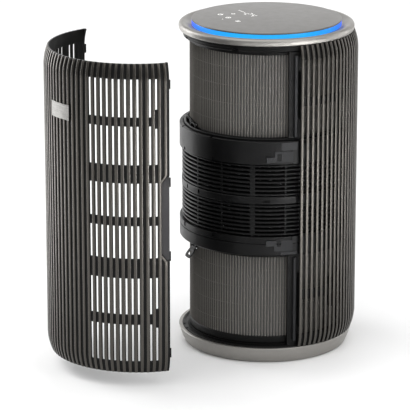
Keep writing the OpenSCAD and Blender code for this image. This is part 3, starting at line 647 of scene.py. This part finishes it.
def pull_loop(name, body, node, pin, turn):
    """Strap loop with rounded corners on a barrel round its pin."""
    lean = math.radians(turn)
    pivot_z = (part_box(pin)[0].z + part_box(pin)[1].z) / 2

    def spot(x, y, z):
        r = TAB_R + x * math.cos(lean) + z * math.sin(lean)
        return place(TAB_PHI, r, pivot_z - x * math.sin(lean) + z * math.cos(lean), y)

    shape = Shape()
    half, low, high = TAB_HALF - TAB_STRIP / 2, 3 * MM + TAB_STRIP / 2, TAB_LEN - TAB_STRIP / 2
    path = rounded([(-half, low), (half, low), (half, high), (-half, high)], 3.4 * MM, 8)
    middle = Vector((0, (low + high) / 2))
    strip = rounded([(-TAB_THICK / 2, -TAB_STRIP / 2), (TAB_THICK / 2, -TAB_STRIP / 2),
                     (TAB_THICK / 2, TAB_STRIP / 2), (-TAB_THICK / 2, TAB_STRIP / 2)], 0.5 * MM)
    rings = []
    for i, point in enumerate(path):
        along = Vector(path[(i + 1) % len(path)]) - Vector(path[i - 1])
        out = Vector((along.y, -along.x)).normalized()
        if out.dot(Vector(point) - middle) < 0:
            out = -out
        rings.append([spot(x, point[0] + out.x * s, point[1] + out.y * s) for x, s in strip])
    shape.loft(rings, True)
    stem = rounded([(-TAB_THICK / 2, 1 * MM), (TAB_THICK / 2, 1 * MM), (TAB_THICK / 2, 4.6 * MM),
                    (-TAB_THICK / 2, 4.6 * MM)], 0.3 * MM)
    shape.loft([[spot(x, y, z) for x, z in stem] for y in (-TAB_STEM, TAB_STEM)])
    barrel = [(TAB_BARREL * math.cos(a), TAB_BARREL * math.sin(a))
              for a in (2 * math.pi * i / 28 for i in range(28))]
    shape.loft([[spot(x * k, y, z * k) for x, z in barrel]
                for y, k in ((-TAB_STEM, 0.85), (-TAB_STEM + 0.4 * MM, 1), (TAB_STEM - 0.4 * MM, 1),
                             (TAB_STEM, 0.85))])
    shape.build(name, body, TAB, [node])


pull_loop("upper_loop", "upper_tab", "upper_pull_tab", "upper_tab_pin", TAB_LEAN)
pull_loop("lower_loop", "lower_tab", "lower_pull_tab", "lower_tab_pin", 180 - TAB_LEAN)

# ---- fan housing ----

# Sizes in mm, and STRUT_FIRST and WIDE_STRUT are directions in degrees.
FLANGE_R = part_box("upper_flange")[1].x / MM
LOUVRE_R, LOUVRE_IN = 133.4, 127.5
LOWER_LOUVRE_Z, BAND_Z0, BAND_Z1, UPPER_LOUVRE_Z = 208.2, 260.5, 272.2, 325.4
SLATS, STRUTS, STRUT_FIRST, WIDE_STRUT = 8, 16, 5.6, 50.6


def louvre(name, node, z0, z1, ring_z0, ring_z1):
    """Stack of slanted slats with eased lips, on upright struts."""
    shape = Shape()
    step = (z1 - z0) / SLATS
    for i in range(SLATS):
        z = z0 + step * (i + 0.5)
        slat = [(LOUVRE_IN, z + 0.2), (LOUVRE_R - 0.8, z - 1.6, 0.4), (LOUVRE_R, z - 1.2, 0.5),
                (LOUVRE_R, z + 0.8, 0.6), (LOUVRE_R - 0.8, z + 1.4, 0.5), (LOUVRE_IN, z + 2.6)]
        shape.lathe(rounded(mm(slat), 0.2 * MM), 0, 360, 288)
    ring = [(LOUVRE_IN, ring_z0), (FLANGE_R - 2.8, ring_z0), (FLANGE_R - 2.8, ring_z1),
            (LOUVRE_IN, ring_z1)]
    shape.lathe(rounded(mm(ring), 0.2 * MM), 0, 360, 288)
    low, high = min(z0, ring_z0 + 1) * MM, max(z1, ring_z1 - 1) * MM
    for k in range(STRUTS):
        phi = STRUT_FIRST + 360 / STRUTS * k
        width, inset = (8, 0.6) if abs(phi - WIDE_STRUT) < 2 else (3, 1.6)
        shape.block(phi, (LOUVRE_IN + 0.5) * MM, (LOUVRE_R - inset) * MM, width * MM, low, high,
                    0.4 * MM)
    shape.build(name, "main_unit", GLOSS, [node])


louvre("lower_slats", "lower_louvre", LOWER_LOUVRE_Z, BAND_Z0, LOWER_LOUVRE_Z - 4,
       LOWER_LOUVRE_Z - 0.4)
louvre("upper_slats", "upper_louvre", BAND_Z1, UPPER_LOUVRE_Z, UPPER_LOUVRE_Z + 0.4,
       UPPER_LOUVRE_Z + 4)

finish_nodes()

# ---- stage, lights and camera ----

# Angles are in degrees, distances in metres and the lens in mm. The camera stands CAMERA_BACK from
# the axis in the direction CAMERA_TURN, moved sideways by CAMERA_SIDE, at the height CAMERA_UP.
CAMERA_TURN = 60.71
CAMERA_PITCH = 16.05
CAMERA_BACK, CAMERA_SIDE, CAMERA_UP = 4.281, -0.0969, 1.4531
LENS = 243.9
UP = Vector((0, 0, 1))


def towards(turn, distance, height=0.0):
    """Point at a distance and height from the axis, turn degrees right of the camera's side."""
    return Vector(place(CAMERA_TURN + turn, distance, height))


def make_camera():
    """Long lens that looks down by CAMERA_PITCH."""
    camera = bpy.data.objects.new("camera", bpy.data.cameras.new("camera"))
    camera.data.lens = LENS
    camera.data.sensor_width = 36
    camera.data.clip_end = 60
    camera.location = towards(0, CAMERA_BACK, CAMERA_UP) + towards(90, CAMERA_SIDE)
    pitch = math.radians(CAMERA_PITCH)
    aim = -towards(0, 1) * math.cos(pitch) - UP * math.sin(pitch)
    camera.rotation_euler = aim.to_track_quat("-Z", "Y").to_euler()
    bpy.context.scene.collection.objects.link(camera)
    bpy.context.scene.camera = camera


def softbox(name, turn, distance, height, size, power, aim, spread=180):
    """Area light of (width, height) size that faces the aim point."""
    light = bpy.data.lights.new(name, "AREA")
    light.spread = math.radians(spread)
    light.shape = "RECTANGLE"
    light.size, light.size_y = size
    light.energy = power
    lamp = bpy.data.objects.new(name, light)
    lamp.location = towards(turn, distance, height)
    lamp.rotation_euler = (Vector(aim) - lamp.location).to_track_quat("-Z", "Y").to_euler()
    lamp.visible_camera = False
    bpy.context.scene.collection.objects.link(lamp)


def make_floor():
    """Pale, barely uneven floor that reaches far past the picture's edges."""
    n = Nodes("pale_floor")
    n.link(n.mix(n.remap(n.noise(3.0, 3.0), 0.0, 1.0), shade(0.80, 0.80, 0.80),
                 shade(0.83, 0.83, 0.83)), "Base Color")
    n.link(n.remap(n.noise(6.0, 3.0), 0.55, 0.65), "Roughness")
    mesh = bpy.data.meshes.new("floor")
    size = 30
    mesh.from_pydata([(-size, -size, 0), (size, -size, 0), (size, size, 0), (-size, size, 0)], [],
                     [(0, 1, 2, 3)])
    mesh.materials.append(n.material)
    floor = bpy.data.objects.new("floor", mesh)
    bpy.context.scene.collection.objects.link(floor)


def make_world(level):
    """Even white light from all round."""
    world = bpy.data.worlds.new("studio")
    world.use_nodes = True
    world.node_tree.nodes["Background"].inputs[0].default_value = shade(1, 1, 1)
    world.node_tree.nodes["Background"].inputs[1].default_value = level
    bpy.context.scene.world = world


make_camera()
make_floor()
make_world(0.31)
softbox("overhead", 0, 1.3, 4.5, (9.0, 9.0), 372, (0, 0, 0))
softbox("key", 46, 2.3, 0.9, (0.8, 1.8), 10, (0, 0, 0.3))
softbox("key_floor", 42, 1.3, 0.75, (0.5, 0.8), 32, towards(42, 1.3), 110)
softbox("right", 112, 2.4, 0.9, (1.6, 1.7), 18, (0, -0.1, 0.3))
softbox("back", 180, 3.6, 1.3, (4.5, 2.0), 34, (0, 0, 0.4))
softbox("left", -118, 2.4, 0.9, (1.8, 1.7), 44, (0, -0.1, 0.3))
softbox("left_floor", -100, 1.5, 0.75, (1.1, 1.1), 15, towards(-100, 1.5), 110)
bpy.context.scene.view_settings.view_transform = "Standard"
